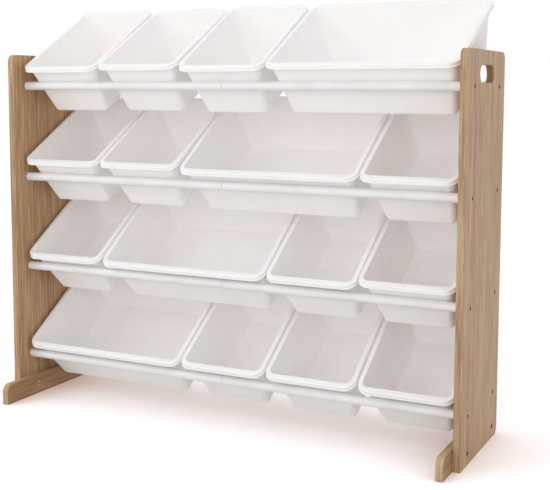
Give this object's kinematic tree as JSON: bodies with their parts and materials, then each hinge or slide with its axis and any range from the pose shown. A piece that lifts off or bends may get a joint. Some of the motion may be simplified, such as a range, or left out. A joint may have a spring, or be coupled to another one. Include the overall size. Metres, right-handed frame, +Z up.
{
  "type": "toy storage organizer with bins",
  "caption": "Free-standing toy rack: wood-grain side panels on feet, joined by tiers of white tubes that hold tilted, lift-out plastic bins.",
  "frame": {"origin": "on the floor, at the middle of the rack's outline seen from above", "axes": "+X across the rack to the right seen from the front, +Y from the front to the rear, +Z up"},
  "size_m": [1.06, 0.3678, 0.8984],
  "materials": {
    "panel_laminate": "natural oak-grain laminate, matt, vertical grain",
    "foot_laminate": "natural oak-grain laminate, matt, grain along the foot",
    "tube_white": "white powder coat, satin",
    "bin_plastic": "milky white polyethylene, slightly translucent, satin",
    "plug_plastic": "white moulded plastic",
    "joiner_plastic": "white moulded plastic",
    "screw_steel": "dark zinc",
    "bolt_steel": "dark zinc",
    "sleeve_steel": "zinc plated"
  },
  "bodies": {
    "rack": {"left_side_panel": "panel_laminate", "left_foot": "foot_laminate", "left_panel_screws": "screw_steel", "left_tube_plugs": "plug_plastic", "left_foot_bolts": "bolt_steel", "left_foot_sleeve_nuts": "sleeve_steel", "right_side_panel": "panel_laminate", "right_foot": "foot_laminate", "right_panel_screws": "screw_steel", "right_tube_plugs": "plug_plastic", "right_foot_bolts": "bolt_steel", "right_foot_sleeve_nuts": "sleeve_steel", "tube_joiners": "joiner_plastic", "top_front_tube_left_half": "tube_white", "top_front_tube_right_half": "tube_white", "top_rear_tube_left_half": "tube_white", "top_rear_tube_right_half": "tube_white", "upper_front_tube_left_half": "tube_white", "upper_front_tube_right_half": "tube_white", "upper_rear_tube_left_half": "tube_white", "upper_rear_tube_right_half": "tube_white", "lower_front_tube_left_half": "tube_white", "lower_front_tube_right_half": "tube_white", "lower_rear_tube_left_half": "tube_white", "lower_rear_tube_right_half": "tube_white", "bottom_front_tube_left_half": "tube_white", "bottom_front_tube_right_half": "tube_white", "bottom_rear_tube_left_half": "tube_white", "bottom_rear_tube_right_half": "tube_white"},
    "top_bin_1": {"top_tier_bin_1_small": "bin_plastic"},
    "top_bin_2": {"top_tier_bin_2_small": "bin_plastic"},
    "top_bin_3": {"top_tier_bin_3_small": "bin_plastic"},
    "top_bin_4": {"top_tier_bin_4_large": "bin_plastic"},
    "upper_bin_1": {"upper_tier_bin_1_small": "bin_plastic"},
    "upper_bin_2": {"upper_tier_bin_2_small": "bin_plastic"},
    "upper_bin_3": {"upper_tier_bin_3_large": "bin_plastic"},
    "upper_bin_4": {"upper_tier_bin_4_small": "bin_plastic"},
    "lower_bin_1": {"lower_tier_bin_1_small": "bin_plastic"},
    "lower_bin_2": {"lower_tier_bin_2_large": "bin_plastic"},
    "lower_bin_3": {"lower_tier_bin_3_small": "bin_plastic"},
    "lower_bin_4": {"lower_tier_bin_4_small": "bin_plastic"},
    "bottom_bin_1": {"bottom_tier_bin_1_large": "bin_plastic"},
    "bottom_bin_2": {"bottom_tier_bin_2_small": "bin_plastic"},
    "bottom_bin_3": {"bottom_tier_bin_3_small": "bin_plastic"},
    "bottom_bin_4": {"bottom_tier_bin_4_small": "bin_plastic"}
  },
  "joints": [
    {"name": "top_bin_1_lift", "type": "slide", "parent": "rack", "child": "top_bin_1", "axis": [0, -0.6184, 0.7859], "range_m": [0, 0.2]},
    {"name": "top_bin_2_lift", "type": "slide", "parent": "rack", "child": "top_bin_2", "axis": [0, -0.599, 0.8007], "range_m": [0, 0.2]},
    {"name": "top_bin_3_lift", "type": "slide", "parent": "rack", "child": "top_bin_3", "axis": [0, -0.6184, 0.7859], "range_m": [0, 0.2]},
    {"name": "top_bin_4_lift", "type": "slide", "parent": "rack", "child": "top_bin_4", "axis": [0, -0.6004, 0.7997], "range_m": [0, 0.2]},
    {"name": "upper_bin_1_tip", "type": "hinge", "parent": "rack", "child": "upper_bin_1", "pos_m": [0, 0.10014, 0.5106], "axis": [-1, 0, 0], "range_deg": [0, 30]},
    {"name": "upper_bin_2_tip", "type": "hinge", "parent": "rack", "child": "upper_bin_2", "pos_m": [0, 0.10014, 0.5106], "axis": [-1, 0, 0], "range_deg": [0, 29.9]},
    {"name": "upper_bin_3_tip", "type": "hinge", "parent": "rack", "child": "upper_bin_3", "pos_m": [0, 0.10014, 0.5106], "axis": [-1, 0, 0], "range_deg": [0, 32.9]},
    {"name": "upper_bin_4_tip", "type": "hinge", "parent": "rack", "child": "upper_bin_4", "pos_m": [0, 0.10014, 0.5106], "axis": [-1, 0, 0], "range_deg": [0, 32.1]},
    {"name": "lower_bin_1_tip", "type": "hinge", "parent": "rack", "child": "lower_bin_1", "pos_m": [0, 0.10014, 0.3034], "axis": [-1, 0, 0], "range_deg": [0, 33.6]},
    {"name": "lower_bin_2_tip", "type": "hinge", "parent": "rack", "child": "lower_bin_2", "pos_m": [0, 0.10014, 0.3034], "axis": [-1, 0, 0], "range_deg": [0, 35.4]},
    {"name": "lower_bin_3_tip", "type": "hinge", "parent": "rack", "child": "lower_bin_3", "pos_m": [0, 0.10014, 0.3034], "axis": [-1, 0, 0], "range_deg": [0, 34.7]},
    {"name": "lower_bin_4_tip", "type": "hinge", "parent": "rack", "child": "lower_bin_4", "pos_m": [0, 0.10014, 0.3034], "axis": [-1, 0, 0], "range_deg": [0, 31.1]},
    {"name": "bottom_bin_1_tip", "type": "hinge", "parent": "rack", "child": "bottom_bin_1", "pos_m": [0, 0.10014, 0.0962], "axis": [-1, 0, 0], "range_deg": [0, 34.1]},
    {"name": "bottom_bin_2_tip", "type": "hinge", "parent": "rack", "child": "bottom_bin_2", "pos_m": [0, 0.10014, 0.0962], "axis": [-1, 0, 0], "range_deg": [0, 33.4]},
    {"name": "bottom_bin_3_tip", "type": "hinge", "parent": "rack", "child": "bottom_bin_3", "pos_m": [0, 0.10014, 0.0962], "axis": [-1, 0, 0], "range_deg": [0, 33.1]},
    {"name": "bottom_bin_4_tip", "type": "hinge", "parent": "rack", "child": "bottom_bin_4", "pos_m": [0, 0.10014, 0.0962], "axis": [-1, 0, 0], "range_deg": [0, 33.3]}
  ]
}
